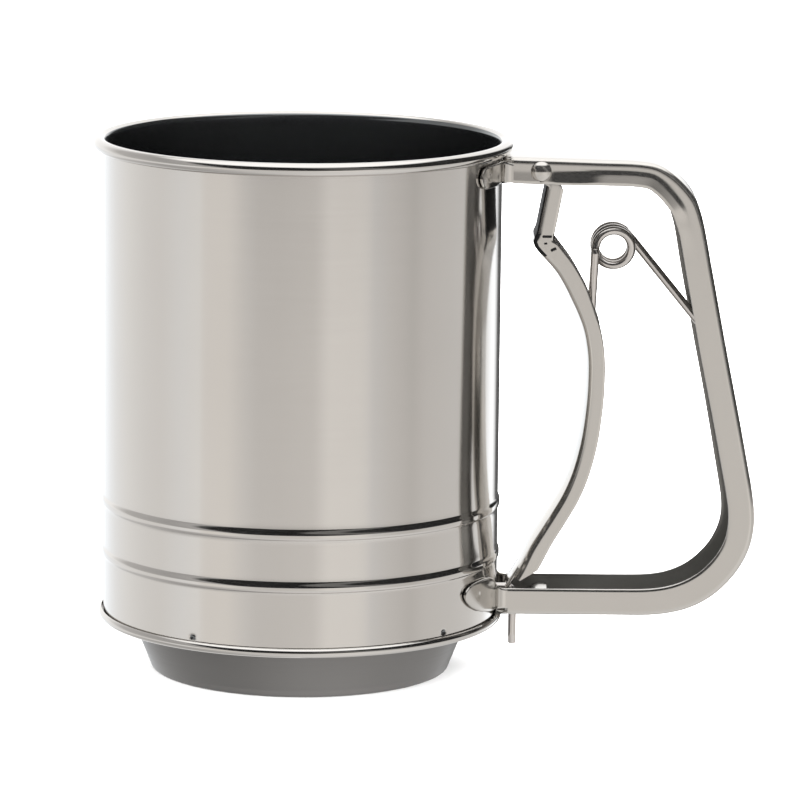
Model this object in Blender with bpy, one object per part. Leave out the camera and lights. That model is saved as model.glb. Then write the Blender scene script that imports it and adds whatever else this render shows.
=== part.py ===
"""A trigger-operated flour sifter: drum, collar, screen, agitator, rod, handle, trigger and spring.

Sizes are in millimetres about the drum's axis, with z = 0 under the collar, the handle
toward +X and the front toward -Y. The Frame empty turns them into metres and centres the
bounding box.
"""

import math

import bmesh
import bpy
from mathutils import Vector

MM = 0.001
SEGMENTS = 48
WIRE_SIDES = 8
GAP = 0.3

# Drum
DRUM_R = 50.0
DRUM_SHEET = 0.7
DRUM_FOOT_Z = 13.95
RIM_TOP_Z = 135.5
RIM_CURL_R = 1.65
RIM_CURL_Z = 1.85
BEAD_TOPS = (32.0, 45.1)
BEAD_HEIGHT = 3.0
BEAD_RISE = 0.45

# Collar under the drum
SKIRT_FOOT_R = 37.7
SKIRT_HALF_ANGLE = math.radians(22.5)
SKIRT_SHEET = 0.75
HEM_WIDTH = 1.8
HEM_HEIGHT = 1.3
SEAM_R = 51.2
SEAM_FOOT_Z = 12.9
SEAM_TOP_Z = 15.5

# Screen and the ring that clamps it
SCREEN_R = 48.6
SCREEN_FLAT_R = 42.0
SCREEN_SHEET = 0.4
SCREEN_DROP = 4.0
RING_INNER_R = 46.2
RING_OUTER_R = 48.9
RING_HEIGHT = 1.6

# Cross bar and the agitator's post
BAR_Z = 27.0
BAR_SHEET = 1.0
BAR_WIDTH = 9.0
BAR_REACH = 48.75
BAR_TAB_HEIGHT = 10.0
POST_R = 2.5
POST_TOP_Z = 33.0
POST_FLANGE_R = 4.5
NUT_ACROSS_FLATS = 8.0

# Agitator
HUB_R = 5.0
HUB_FOOT_Z = 13.0
HUB_TOP_Z = 24.2
BLADE_REACH = 43.0
BLADE_TOP_Z = 16.8
BLADE_SHEET = 0.8
BLADE_LIFT = 0.6
ARM_Z = 17.6
ARM_SHEET = 1.0
ARM_REACH = 31.0
ARM_WIDTH = 7.0

# Rod between the trigger and the agitator
ROD_R = 1.05
ROD_Z = 20.5
ROD_BEND_R = 1.6
ROD_PIN_X = 54.0
ROD_PIN_FOOT_Z = 5.8
ROD_LINE_Y = 25.0
ROD_STROKE = 21.3
ROD_CLEARANCE = 0.35

# Handle channel
HANDLE_HALF_WIDTH = 9.5
HANDLE_SHEET = 0.7
HANDLE_BEND_R = 1.3
EAR_SHEET = 0.7

# Trigger
TRIGGER_HALF_WIDTH = 8.0
TRIGGER_SHEET = 0.8
TRIGGER_FLANGE = 4.0
PIVOT = (59.5, 128.35)
PIVOT_PIN_R = 1.25
PIVOT_HOLE_R = 1.55
RIVET_HEAD_R = 2.6
RIVET_HEAD_HEIGHT = 1.7

# Spring
SPRING_WIRE_R = 1.1
COIL_CENTRE = (78.0, 108.4)
COIL_R = 4.55
COIL_HALF_WIDTH = 5.4

ARM_ANGLE = math.atan2(ROD_LINE_Y, -ROD_STROKE / 2)
SPAN_X = (-DRUM_R - 2.5, 114.7)

# Outer face of the handle's web as (x, z, flange depth), from the drum's rim round to its foot
HANDLE_PATH = (
    (48.2, 131.55, 6.2),
    (60.0, 131.30, 6.2),
    (74.0, 130.95, 6.0),
    (84.0, 130.65, 6.0),
    (88.4, 129.9, 6.1),
    (92.0, 127.9, 6.3),
    (95.3, 124.9, 6.6),
    (98.1, 121.3, 6.9),
    (99.7, 117.6, 7.1),
    (100.8, 114.0, 7.2),
    (102.8, 104.1, 7.4),
    (104.8, 94.0, 7.4),
    (106.8, 83.9, 7.4),
    (108.9, 73.7, 7.4),
    (111.0, 63.5, 7.4),
    (113.0, 53.3, 7.4),
    (114.0, 48.1, 7.5),
    (114.6, 43.0, 7.5),
    (114.4, 37.9, 7.6),
    (113.1, 32.7, 7.6),
    (110.3, 27.3, 7.5),
    (106.4, 22.7, 7.3),
    (102.4, 19.6, 7.1),
    (98.1, 17.5, 6.9),
    (93.6, 16.3, 6.7),
    (88.5, 15.7, 6.6),
    (70.0, 15.6, 6.5),
    (48.2, 15.6, 6.5),
)

# Face of the trigger's web toward the drum as (x, z), from the pivot down to the foot
TRIGGER_PATH = (
    (61.35, 122.6),
    (60.4, 117.4),
    (59.5, 112.4),
    (59.2, 110.4),
    (59.8, 108.3),
    (61.6, 105.9),
    (64.1, 102.6),
    (66.2, 99.1),
    (67.9, 95.7),
    (69.5, 92.3),
    (70.9, 88.6),
    (71.8, 84.6),
    (72.3, 80.2),
    (72.35, 75.6),
    (72.15, 70.7),
    (71.7, 65.8),
    (71.0, 60.7),
    (69.9, 55.5),
    (68.4, 50.5),
    (66.3, 45.6),
    (63.5, 40.7),
    (60.6, 35.9),
    (57.5, 30.8),
    (53.9, 24.8),
)

FOOT_PATH = (
    (55.2, 26.8),
    (53.9, 24.6),
    (52.4, 22.0),
    (51.8, 20.3),
    (51.8, 18.5),
    (52.1, 17.6),
    (52.9, 17.05),
    (57.4, 17.05),
)

# Side outline of the trigger's ears, which carry the pivot above the web's end
EAR_OUTLINE = (
    (61.2, 119.0),
    (63.6, 119.4),
    (64.5, 121.4),
    (65.0, 123.0),
    (64.8, 124.4),
    (64.0, 126.0),
    (62.6, 127.6),
    (61.3, 129.7),
    (60.3, 130.45),
    (59.5, 130.6),
    (58.4, 130.3),
    (57.6, 129.6),
    (57.25, 128.4),
    (57.5, 127.3),
    (58.3, 126.4),
    (60.0, 124.9),
    (61.0, 122.8),
)


def clear_scene():
    for obj in list(bpy.data.objects):
        bpy.data.objects.remove(obj, do_unlink=True)


def make_material(name, colour, roughness, metallic):
    material = bpy.data.materials.new(name)
    material.use_nodes = True
    shader = material.node_tree.nodes["Principled BSDF"]
    shader.inputs["Base Color"].default_value = (*colour, 1.0)
    shader.inputs["Roughness"].default_value = roughness
    shader.inputs["Metallic"].default_value = metallic
    return material


def node(name, points, faces, material, parent):
    """An object from points in millimetres, with its faces turned outward."""
    mesh = bpy.data.meshes.new(name)
    mesh.from_pydata([Vector(p) * MM for p in points], [], faces)
    work = bmesh.new()
    work.from_mesh(mesh)
    bmesh.ops.recalc_face_normals(work, faces=work.faces)
    work.to_mesh(mesh)
    work.free()
    obj = bpy.data.objects.new(name, mesh)
    bpy.context.scene.collection.objects.link(obj)
    obj.data.materials.append(material)
    obj.parent = parent
    return obj


def smooth(obj, degrees=32.0):
    work = bmesh.new()
    work.from_mesh(obj.data)
    for face in work.faces:
        face.smooth = True
    for edge in work.edges:
        edge.smooth = edge.calc_face_angle(0.0) < math.radians(degrees)
    work.to_mesh(obj.data)
    work.free()


def rings(loops, closed):
    """Faces between successive loops of equal length, with end caps unless it closes."""
    count = len(loops)
    size = len(loops[0])
    points = [p for loop in loops for p in loop]
    faces = []
    for i in range(count if closed else count - 1):
        a = i * size
        b = (i + 1) % count * size
        for k in range(size):
            n = (k + 1) % size
            faces.append((a + k, a + n, b + n, b + k))
    if not closed:
        faces.append(tuple(range(size)))
        faces.append(tuple(range((count - 1) * size, count * size)))
    return points, faces


def lathe(profile, segments=SEGMENTS):
    """A ring turned about Z from a closed outline of (radius, z), clear of the axis."""
    loops = []
    for i in range(segments):
        a = 2 * math.pi * (i + 0.5) / segments
        loops.append([(r * math.cos(a), r * math.sin(a), z) for r, z in profile])
    return rings(loops, closed=True)


def turned(profile, segments):
    """A solid turned about Z from (radius, z) stations, flat at both ends."""
    loops = []
    for r, z in profile:
        loop = []
        for i in range(segments):
            a = 2 * math.pi * (i + 0.5) / segments
            loop.append((r * math.cos(a), r * math.sin(a), z))
        loops.append(loop)
    return rings(loops, closed=False)


def prism(outline, low, high, place):
    """An outline drawn between two levels; place(u, v, level) gives each point."""
    loops = [[place(u, v, level) for u, v in outline] for level in (low, high)]
    return rings(loops, closed=False)


def upright(u, v, level):
    return (u, level, v)


def flat(u, v, level):
    return (u, v, level)


def outward(u, v, level):
    return (level, u, v)


def box(low, high):
    outline = ((low[0], low[1]), (high[0], low[1]), (high[0], high[1]), (low[0], high[1]))
    return prism(outline, low[2], high[2], flat)


def rounded_bar(half_length, half_width, steps=6):
    """Outline of a slot with round ends, centred on the origin and long in u."""
    points = []
    for side in (1, -1):
        for i in range(steps + 1):
            a = side * math.pi / 2 - math.pi * i / steps
            u = side * (half_length - half_width) + half_width * math.cos(a)
            points.append((u, half_width * math.sin(a)))
    return points


def circle(radius, steps, centre=(0.0, 0.0)):
    points = []
    for i in range(steps):
        a = 2 * math.pi * i / steps
        points.append((centre[0] + radius * math.cos(a), centre[1] + radius * math.sin(a)))
    return points


def tube(path, radius, sides=WIRE_SIDES):
    """A round wire along a path, with its section carried along without twist."""
    path = [Vector(p) for p in path]
    tangents = []
    for i, point in enumerate(path):
        before = path[max(i - 1, 0)]
        after = path[min(i + 1, len(path) - 1)]
        into = (point - before).normalized()
        out = (after - point).normalized()
        tangents.append((into + out).normalized())
    normal = tangents[0].orthogonal().normalized()
    loops = []
    for point, tangent in zip(path, tangents):
        normal = (normal - tangent * normal.dot(tangent)).normalized()
        other = tangent.cross(normal)
        loop = []
        for k in range(sides):
            a = 2 * math.pi * k / sides
            loop.append(tuple(point + normal * math.cos(a) * radius + other * math.sin(a) * radius))
        loops.append(loop)
    return rings(loops, closed=False)


def corner(before, at, after, radius, steps=4):
    """Points that round the corner of a path at the given bend radius."""
    before, at, after = Vector(before), Vector(at), Vector(after)
    into = (before - at).normalized()
    out = (after - at).normalized()
    half = into.angle(out) / 2
    reach = radius / math.tan(half)
    centre = at + (into + out).normalized() * (radius / math.sin(half))
    start = (at + into * reach - centre).normalized()
    end = (at + out * reach - centre).normalized()
    return [tuple(centre + start.slerp(end, i / steps) * radius) for i in range(steps + 1)]


def normals(path, side):
    """Mitred normals of a flat path, scaled to keep an offset parallel."""
    out = []
    for i in range(len(path)):
        units = []
        for j in (i - 1, i):
            if 0 <= j < len(path) - 1:
                step = Vector(path[j + 1][:2]) - Vector(path[j][:2])
                units.append(Vector((-step.y, step.x)).normalized() * side)
        total = units[0] + units[-1]
        total = total.normalized()
        out.append(total / total.dot(units[0]))
    return out


def channel(path, side, half_width, sheet, bend_r, depths):
    """A U-section swept along the outer face of its web, with its flanges turned inward."""
    inner_r = bend_r - sheet
    diagonal = math.sqrt(0.5)
    loops = []
    for point, normal, depth in zip(path, normals(path, side), depths):
        half = [
            (half_width, depth),
            (half_width, bend_r),
            (half_width - bend_r * (1 - diagonal), bend_r * (1 - diagonal)),
            (half_width - bend_r, 0.0),
        ]
        inside = [
            (half_width - bend_r, sheet),
            (half_width - bend_r + inner_r * diagonal, bend_r - inner_r * diagonal),
            (half_width - sheet, bend_r),
            (half_width - sheet, depth),
        ]
        section = half + [(-y, s) for y, s in reversed(half)]
        section += [(-y, s) for y, s in reversed(inside)] + inside
        loops.append([(point[0] + normal.x * s, y, point[1] + normal.y * s) for y, s in section])
    return rings(loops, closed=False)


def strip(path, side, half_width, sheet):
    """A flat sheet bent along a path, with that path on its outer face."""
    loops = []
    for point, normal in zip(path, normals(path, side)):
        inner = (point[0] + normal.x * sheet, point[1] + normal.y * sheet)
        loops.append(
            [
                (point[0], -half_width, point[1]),
                (point[0], half_width, point[1]),
                (inner[0], half_width, inner[1]),
                (inner[0], -half_width, inner[1]),
            ]
        )
    return rings(loops, closed=False)


def combine(obj, operation, shape):
    """Apply one boolean step with a shape of points and faces, then discard the tool."""
    tool = node("tool", *shape, obj.data.materials[0], obj.parent)
    modifier = obj.modifiers.new("cut", "BOOLEAN")
    modifier.operation = operation
    modifier.solver = "EXACT"
    modifier.object = tool
    bpy.context.view_layer.update()
    result = obj.evaluated_get(bpy.context.evaluated_depsgraph_get())
    mesh = bpy.data.meshes.new_from_object(result)
    obj.modifiers.clear()
    obj.data = mesh
    bpy.data.objects.remove(tool, do_unlink=True)


def bead(top, radius):
    """Stations of one rolled bead, from its foot up."""
    foot = top - BEAD_HEIGHT
    return [
        (radius, foot),
        (radius + BEAD_RISE * 0.8, foot + 0.45),
        (radius + BEAD_RISE, foot + BEAD_HEIGHT / 2),
        (radius + BEAD_RISE * 0.8, top - 0.45),
        (radius, top),
    ]


def build_drum(steel, frame):
    inner_r = DRUM_R - DRUM_SHEET
    curl_z = RIM_TOP_Z - RIM_CURL_Z
    curl_r = inner_r + RIM_CURL_R
    profile = [(DRUM_R, DRUM_FOOT_Z)]
    for top in BEAD_TOPS:
        profile += bead(top, DRUM_R)
    start = math.acos((DRUM_R - curl_r) / RIM_CURL_R)
    for i in range(9):
        a = -start + (math.pi + start) * i / 8
        profile.append((curl_r + RIM_CURL_R * math.cos(a), curl_z + RIM_CURL_Z * math.sin(a)))
    for top in reversed(BEAD_TOPS):
        profile += reversed(bead(top, inner_r))
    profile.append((inner_r, DRUM_FOOT_Z))
    drum = node("body_shell", *lathe(profile), steel, frame)
    hole = circle(ROD_R + ROD_CLEARANCE + 0.05, 12, (0.0, ROD_Z))
    combine(drum, "DIFFERENCE", prism(hole, 45.0, 54.0, outward))
    smooth(drum)


def build_collar(satin, frame):
    slope = math.tan(SKIRT_HALF_ANGLE)
    sheet_r = SKIRT_SHEET / math.cos(SKIRT_HALF_ANGLE)
    floor_z = SEAM_FOOT_Z + 0.7
    neck_r = SKIRT_FOOT_R + SEAM_FOOT_Z * slope
    hem_r = SKIRT_FOOT_R - HEM_WIDTH
    inner_r = DRUM_R + 0.35
    profile = [
        (SKIRT_FOOT_R, 0.0),
        (SKIRT_FOOT_R + HEM_HEIGHT * slope, HEM_HEIGHT),
        (neck_r, SEAM_FOOT_Z),
        (SEAM_R - 0.4, SEAM_FOOT_Z),
        (SEAM_R, SEAM_FOOT_Z + 0.4),
        (SEAM_R, SEAM_TOP_Z - 0.5),
        (SEAM_R - 0.3, SEAM_TOP_Z),
        (inner_r, SEAM_TOP_Z),
        (inner_r, floor_z),
        (SKIRT_FOOT_R + floor_z * slope - sheet_r, floor_z),
        (SKIRT_FOOT_R + (HEM_HEIGHT + 0.5) * slope - sheet_r, HEM_HEIGHT + 0.5),
        (hem_r, HEM_HEIGHT),
        (hem_r, 0.0),
    ]
    collar = node("base_collar", *lathe(profile), satin, frame)
    smooth(collar)


def screen_top(radius):
    """Height of the screen's upper face at a radius."""
    rim_z = SEAM_FOOT_Z + 0.7 + GAP + SCREEN_SHEET
    inside = min(radius / SCREEN_FLAT_R, 1.0)
    return rim_z - SCREEN_DROP * (1 - inside**2)


def build_screen(mesh_grey, steel, frame):
    radii = (SCREEN_R, SCREEN_FLAT_R, 34.0, 24.0, 12.0)
    stations = [(r, screen_top(r)) for r in radii]
    stations = [(1.0, screen_top(1.0))] + stations[::-1]
    stations += [(r, z - SCREEN_SHEET) for r, z in reversed(stations)]
    screen = node("sifting_screen", *turned(stations, SEGMENTS), mesh_grey, frame)
    smooth(screen)
    low = screen_top(SCREEN_R) + GAP
    profile = [
        (RING_INNER_R, low + 0.3),
        (RING_INNER_R + 0.3, low),
        (RING_OUTER_R - 0.3, low),
        (RING_OUTER_R, low + 0.3),
        (RING_OUTER_R, low + RING_HEIGHT - 0.3),
        (RING_OUTER_R - 0.3, low + RING_HEIGHT),
        (RING_INNER_R + 0.3, low + RING_HEIGHT),
        (RING_INNER_R, low + RING_HEIGHT - 0.3),
    ]
    smooth(node("screen_ring", *lathe(profile), steel, frame))


def build_bar(steel, frame):
    """A flat bar across the drum with its ends bent up against the wall."""
    top = BAR_Z + BAR_TAB_HEIGHT
    path = [(-BAR_REACH, top), (-BAR_REACH, BAR_Z + 1.2), (-BAR_REACH + 0.35, BAR_Z + 0.35),
            (-BAR_REACH + 1.2, BAR_Z)]
    path += [(-x, z) for x, z in reversed(path)]
    points, faces = strip(path, 1.0, BAR_WIDTH / 2, BAR_SHEET)
    points = [(y, x, z) for x, y, z in points]
    bar = node("cross_bar", points, faces, steel, frame)
    combine(bar, "DIFFERENCE", prism(circle(POST_R + 0.35, 16), BAR_Z - 2, BAR_Z + 3, flat))


def washer(name, low, high, steel, frame):
    inner = POST_R + GAP + 0.05
    profile = [(inner, low), (POST_FLANGE_R, low), (POST_FLANGE_R, high), (inner, high)]
    smooth(node(name, *lathe(profile, 24), steel, frame))


def nut(name, low, high, steel, frame):
    outer = NUT_ACROSS_FLATS / 2 / math.cos(math.pi / 6)
    obj = node(name, *prism(circle(outer, 6), low, high, flat), steel, frame)
    combine(obj, "DIFFERENCE", prism(circle(POST_R + GAP, 16), low - 1, high + 1, flat))


def build_post(steel, frame):
    low = screen_top(0.0) + 0.5
    flange_top = low + 1.0
    profile = [(POST_FLANGE_R, low), (POST_FLANGE_R, flange_top), (POST_R, flange_top)]
    profile += [(POST_R, POST_TOP_Z - 0.6), (POST_R - 0.6, POST_TOP_Z)]
    smooth(node("pivot_post", *turned(profile, 24), steel, frame))
    washer("washer_lower", flange_top + GAP, HUB_FOOT_Z - GAP, steel, frame)
    washer("washer_upper", HUB_TOP_Z + GAP, HUB_TOP_Z + GAP + 0.6, steel, frame)
    nut("axle_nut_lower", HUB_TOP_Z + 2 * GAP + 0.6, BAR_Z - GAP, steel, frame)
    nut("axle_nut_upper", BAR_Z + BAR_SHEET + GAP, BAR_Z + BAR_SHEET + GAP + 3.2, steel, frame)


def build_agitator(steel, frame):
    """Hub, slotted crank arm and four scraper blades, all turning about the drum's axis."""
    pivot = bpy.data.objects.new("agitator_axis", None)
    bpy.context.scene.collection.objects.link(pivot)
    pivot.parent = frame
    pivot.rotation_euler.z = ARM_ANGLE
    bore = POST_R + 0.35
    profile = [(bore, HUB_FOOT_Z), (HUB_R, HUB_FOOT_Z), (HUB_R, HUB_TOP_Z), (bore, HUB_TOP_Z)]
    smooth(node("agitator_hub", *lathe(profile, 24), steel, pivot))

    root_r = HUB_R + GAP
    radii = [root_r + (BLADE_REACH - root_r) * i / 6 for i in range(7)]
    outline = [(r, screen_top(r) + BLADE_LIFT) for r in radii]
    outline += [(BLADE_REACH, BLADE_TOP_Z - 0.8), (BLADE_REACH - 0.8, BLADE_TOP_Z)]
    outline += [(root_r, BLADE_TOP_Z)]
    half = BLADE_SHEET / 2
    for i in range(4):
        points, faces = prism(outline, -half, half, upright)
        blade = node(f"agitator_blade_{i + 1}", points, faces, steel, pivot)
        blade.rotation_euler.z = math.pi / 4 + math.pi / 2 * i

    arm_outline = []
    for i in range(13):
        a = math.pi / 2 + math.pi * i / 12
        arm_outline.append((7.6 * math.cos(a), 7.6 * math.sin(a)))
    for i in range(9):
        a = -math.pi / 2 + math.pi * i / 8
        u = ARM_REACH - ARM_WIDTH / 2 + ARM_WIDTH / 2 * math.cos(a)
        arm_outline.append((u, ARM_WIDTH / 2 * math.sin(a)))
    shape = prism(arm_outline, ARM_Z, ARM_Z + ARM_SHEET, flat)
    arm = node("crank_arm", *shape, steel, pivot)
    combine(arm, "DIFFERENCE", prism(circle(root_r, 24), ARM_Z - 1, ARM_Z + 3, flat))
    near_r = ROD_LINE_Y - ROD_R - ROD_CLEARANCE
    far_r = math.hypot(ROD_LINE_Y, ROD_STROKE / 2) + ROD_R + ROD_CLEARANCE
    middle = (near_r + far_r) / 2
    slot = rounded_bar((far_r - near_r) / 2, ROD_R + ROD_CLEARANCE + 0.05)
    slot = [(u + middle, v) for u, v in slot]
    combine(arm, "DIFFERENCE", prism(slot, ARM_Z - 1, ARM_Z + 3, flat))


def build_rod(steel, frame):
    """One wire: pin under the handle, straight run through the wall, crank pin at its end."""
    crank = (-ROD_STROKE / 2, ROD_LINE_Y)
    foot = (ROD_PIN_X, 0.0, ROD_PIN_FOOT_Z)
    elbow = (ROD_PIN_X, 0.0, ROD_Z)
    turn = (24.0, 0.0, ROD_Z)
    head = (*crank, ROD_Z)
    tip = (*crank, ARM_Z - 1.3)
    path = [foot]
    path += corner(foot, elbow, turn, ROD_BEND_R)
    path += corner(elbow, turn, head, 5.0)
    path += corner(turn, head, tip, ROD_BEND_R)
    path += [tip]
    smooth(node("connecting_rod", *tube(path, ROD_R, 12), steel, frame), 50.0)


def ear_prisms(outline):
    """The same sheet outline on both sides of the handle, drawn along X."""
    shapes = []
    for side in (1, -1):
        loop = [(side * y, z) for y, z in outline]
        shapes.append(prism(loop, 40.0, 51.9, outward))
    return shapes


def build_handle(bright, frame):
    depths = [p[2] for p in HANDLE_PATH]
    shape = channel(HANDLE_PATH, -1.0, HANDLE_HALF_WIDTH, HANDLE_SHEET, HANDLE_BEND_R, depths)
    handle = node("handle_channel", *shape, bright, frame)
    inner_r = DRUM_R + GAP
    flange_y = HANDLE_HALF_WIDTH - HANDLE_SHEET + 0.05
    upper = [(flange_y, 125.45), (21.5, 125.5), (23.6, 126.6), (24.4, 128.4), (23.6, 130.2)]
    upper += [(21.5, 131.1), (flange_y, 131.15)]
    lower = [(flange_y, 16.9), (17.0, 17.8), (22.5, 19.0), (27.2, 21.3), (29.0, 24.2)]
    lower += [(27.8, 26.3), (25.0, 26.9), (17.0, 26.5), (12.5, 24.6), (flange_y, 22.0)]
    band = lathe([(DRUM_R - 1.5, 10.0), (inner_r + EAR_SHEET, 10.0),
                  (inner_r + EAR_SHEET, 134.0), (DRUM_R - 1.5, 134.0)])
    for outline in (upper, lower):
        for loop in ear_prisms(outline):
            ear = node("ear", *band, bright, frame)
            combine(ear, "INTERSECT", loop)
            points = [tuple(v.co / MM) for v in ear.data.vertices]
            faces = [tuple(p.vertices) for p in ear.data.polygons]
            bpy.data.objects.remove(ear, do_unlink=True)
            combine(handle, "UNION", (points, faces))
    drum = turned([(inner_r, 5.0), (inner_r, 140.0)], SEGMENTS)
    combine(handle, "DIFFERENCE", drum)
    pin = prism(circle(PIVOT_HOLE_R, 16, PIVOT), -12.0, 12.0, upright)
    combine(handle, "DIFFERENCE", pin)
    low = ROD_PIN_X - ROD_R - ROD_CLEARANCE
    high = ROD_PIN_X + ROD_STROKE + ROD_R + ROD_CLEARANCE
    slot = rounded_bar((high - low) / 2, ROD_R + ROD_CLEARANCE)
    slot = [(u + (low + high) / 2, v) for u, v in slot]
    combine(handle, "DIFFERENCE", prism(slot, 14.0, 18.0, flat))
    smooth(handle, 40.0)


def build_trigger(bright, frame):
    pivot = bpy.data.objects.new("trigger_axis", None)
    bpy.context.scene.collection.objects.link(pivot)
    pivot.parent = frame
    pivot.location = Vector((PIVOT[0], 0.0, PIVOT[1])) * MM

    def local(shape):
        points, faces = shape
        return [(x - PIVOT[0], y, z - PIVOT[1]) for x, y, z in points], faces

    depths = [TRIGGER_FLANGE] * len(TRIGGER_PATH)
    for i, depth in enumerate((4.8, 4.4)):
        depths[-1 - i] = depth
    depths[0:3] = (3.6, 3.6, 3.6)
    shape = channel(TRIGGER_PATH, 1.0, TRIGGER_HALF_WIDTH, TRIGGER_SHEET, 1.3, depths)
    trigger = node("trigger", *local(shape), bright, pivot)
    foot = strip(FOOT_PATH, 1.0, 6.0, TRIGGER_SHEET - 0.1)
    combine(trigger, "UNION", local(foot))
    for side in (1, -1):
        y = sorted((side * (TRIGGER_HALF_WIDTH - 0.05), side * (TRIGGER_HALF_WIDTH - 0.75)))
        combine(trigger, "UNION", local(prism(EAR_OUTLINE, *y, upright)))
    pin = prism(circle(PIVOT_HOLE_R, 16, PIVOT), -12.0, 12.0, upright)
    combine(trigger, "DIFFERENCE", local(pin))
    clear = ROD_R + ROD_CLEARANCE
    window = box((50.5, -clear - 0.05, 18.45), (53.8, clear + 0.05, 22.1))
    combine(trigger, "DIFFERENCE", local(window))
    eye = [(u + ROD_PIN_X, v) for u, v in rounded_bar(clear + 0.1, clear + 0.05)]
    combine(trigger, "DIFFERENCE", local(prism(eye, 16.0, 18.2, flat)))
    smooth(trigger, 32.0)


def build_rivet(bright, frame):
    """Pivot pin of the trigger with a domed head at each end, along Y."""
    face_y = HANDLE_HALF_WIDTH + GAP
    half = []
    for i in range(5):
        a = math.pi / 2 * (1 - i / 5)
        half.append((RIVET_HEAD_R * math.cos(a) + 0.15, face_y + RIVET_HEAD_HEIGHT * math.sin(a)))
    half += [(RIVET_HEAD_R, face_y), (PIVOT_PIN_R, face_y)]
    profile = [(r, -y) for r, y in half] + [(r, y) for r, y in reversed(half)]
    points, faces = turned(profile, 16)
    points = [(x + PIVOT[0], z, y + PIVOT[1]) for x, y, z in points]
    smooth(node("trigger_rivet", points, faces, bright, frame), 50.0)


def build_spring(wire, frame):
    """Two and a third open turns, with a leg into the trigger and a leg into the grip."""
    x0, z0 = COIL_CENTRE
    trigger_tip = (72.6, -COIL_HALF_WIDTH, 90.0)
    grip_tip = (103.1, COIL_HALF_WIDTH, 85.0)
    start = math.radians(176.0)
    end = math.radians(-679.0)
    path = [trigger_tip]
    steps = 52
    for i in range(steps + 1):
        t = i / steps
        a = start + (end - start) * t
        y = -COIL_HALF_WIDTH + 2 * COIL_HALF_WIDTH * t
        path.append((x0 + COIL_R * math.cos(a), y, z0 + COIL_R * math.sin(a)))
    path.append(grip_tip)
    smooth(node("torsion_spring", *tube(path, SPRING_WIRE_R), wire, frame), 50.0)


def main():
    clear_scene()
    frame = bpy.data.objects.new("Frame", None)
    bpy.context.scene.collection.objects.link(frame)
    frame.location.x = -sum(SPAN_X) / 2 * MM

    brushed = make_material("Brushed stainless", (0.62, 0.60, 0.58), 0.28, 1.0)
    satin = make_material("Satin stainless", (0.34, 0.33, 0.32), 0.38, 1.0)
    screen = make_material("Woven stainless", (0.45, 0.45, 0.45), 0.45, 1.0)
    bright = make_material("Bright plated steel", (0.66, 0.64, 0.61), 0.2, 1.0)
    wire = make_material("Bright wire", (0.60, 0.57, 0.55), 0.18, 1.0)

    build_drum(brushed, frame)
    build_collar(satin, frame)
    build_screen(screen, brushed, frame)
    build_bar(brushed, frame)
    build_post(bright, frame)
    build_agitator(brushed, frame)
    build_rod(wire, frame)
    build_handle(bright, frame)
    build_trigger(bright, frame)
    build_rivet(bright, frame)
    build_spring(wire, frame)


main()
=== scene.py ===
"""Looks of a trigger-operated flour sifter: sheet metal, wires, woven screen and studio.

Sizes are in millimetres about the drum's axis, with z = 0 under the collar, the handle
toward +X and the front toward -Y, as in the CAD part. place() turns them into the frame's metres.
"""

import math

import bmesh
import bpy
import numpy as np
from mathutils import Matrix, Vector

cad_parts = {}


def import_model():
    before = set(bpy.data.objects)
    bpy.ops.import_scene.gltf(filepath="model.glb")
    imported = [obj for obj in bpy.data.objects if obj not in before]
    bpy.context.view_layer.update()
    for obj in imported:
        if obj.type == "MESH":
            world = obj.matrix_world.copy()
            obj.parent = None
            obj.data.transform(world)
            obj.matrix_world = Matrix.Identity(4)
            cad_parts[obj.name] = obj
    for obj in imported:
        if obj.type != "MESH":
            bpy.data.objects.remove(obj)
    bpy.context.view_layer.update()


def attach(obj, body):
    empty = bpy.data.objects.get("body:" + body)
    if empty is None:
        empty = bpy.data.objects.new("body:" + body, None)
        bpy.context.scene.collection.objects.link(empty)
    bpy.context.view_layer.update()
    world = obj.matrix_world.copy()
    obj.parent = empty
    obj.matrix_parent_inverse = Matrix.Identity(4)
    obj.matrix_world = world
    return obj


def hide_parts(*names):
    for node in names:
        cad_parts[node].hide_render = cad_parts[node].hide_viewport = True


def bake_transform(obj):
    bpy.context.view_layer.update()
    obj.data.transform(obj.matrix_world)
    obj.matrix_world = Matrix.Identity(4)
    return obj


MM = 0.001

# The drum's axis in the frame, the trigger's pivot as (x, z) and the rod's crank pin as (x, y)
AXIS_X = -31.1
PIVOT = (59.5, 128.35)
CRANK = (-10.65, 25.0)
ARM_ANGLE = math.atan2(CRANK[1], CRANK[0])

# Drum: outside radius, its sheet's thickness, low edge, rim height and the tops of the two beads
DRUM_R = 50.0
SHEET = 0.7
DRUM_LOW = 14.0
RIM_Z = 133.8
BEAD_TOPS = (32.0, 45.1)
BEAD_HIGH = 3.05

# Ears: radius of the strip's middle on the drum, its bend, and half its thickness
EAR_R = 50.65
EAR_BEND_R = 3.0
EAR_HALF = 0.33

# Handle and trigger: the middle of the handle's flange, and the hole for the pivot's pin
FLANGE_Y = 9.15
PIVOT_HOLE_R = 1.55

# Rod: height of its run, its wire's radius, and half the width of the slots that it slides in
ROD_Z = 20.5
ROD_R = 1.05
ROD_SLOT_HALF = 1.45

# Bore of the pieces that sit on the post, and half the thickness of the agitator's blades
POST_BORE_R = 2.85
BLADE_HALF = 0.4

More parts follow.
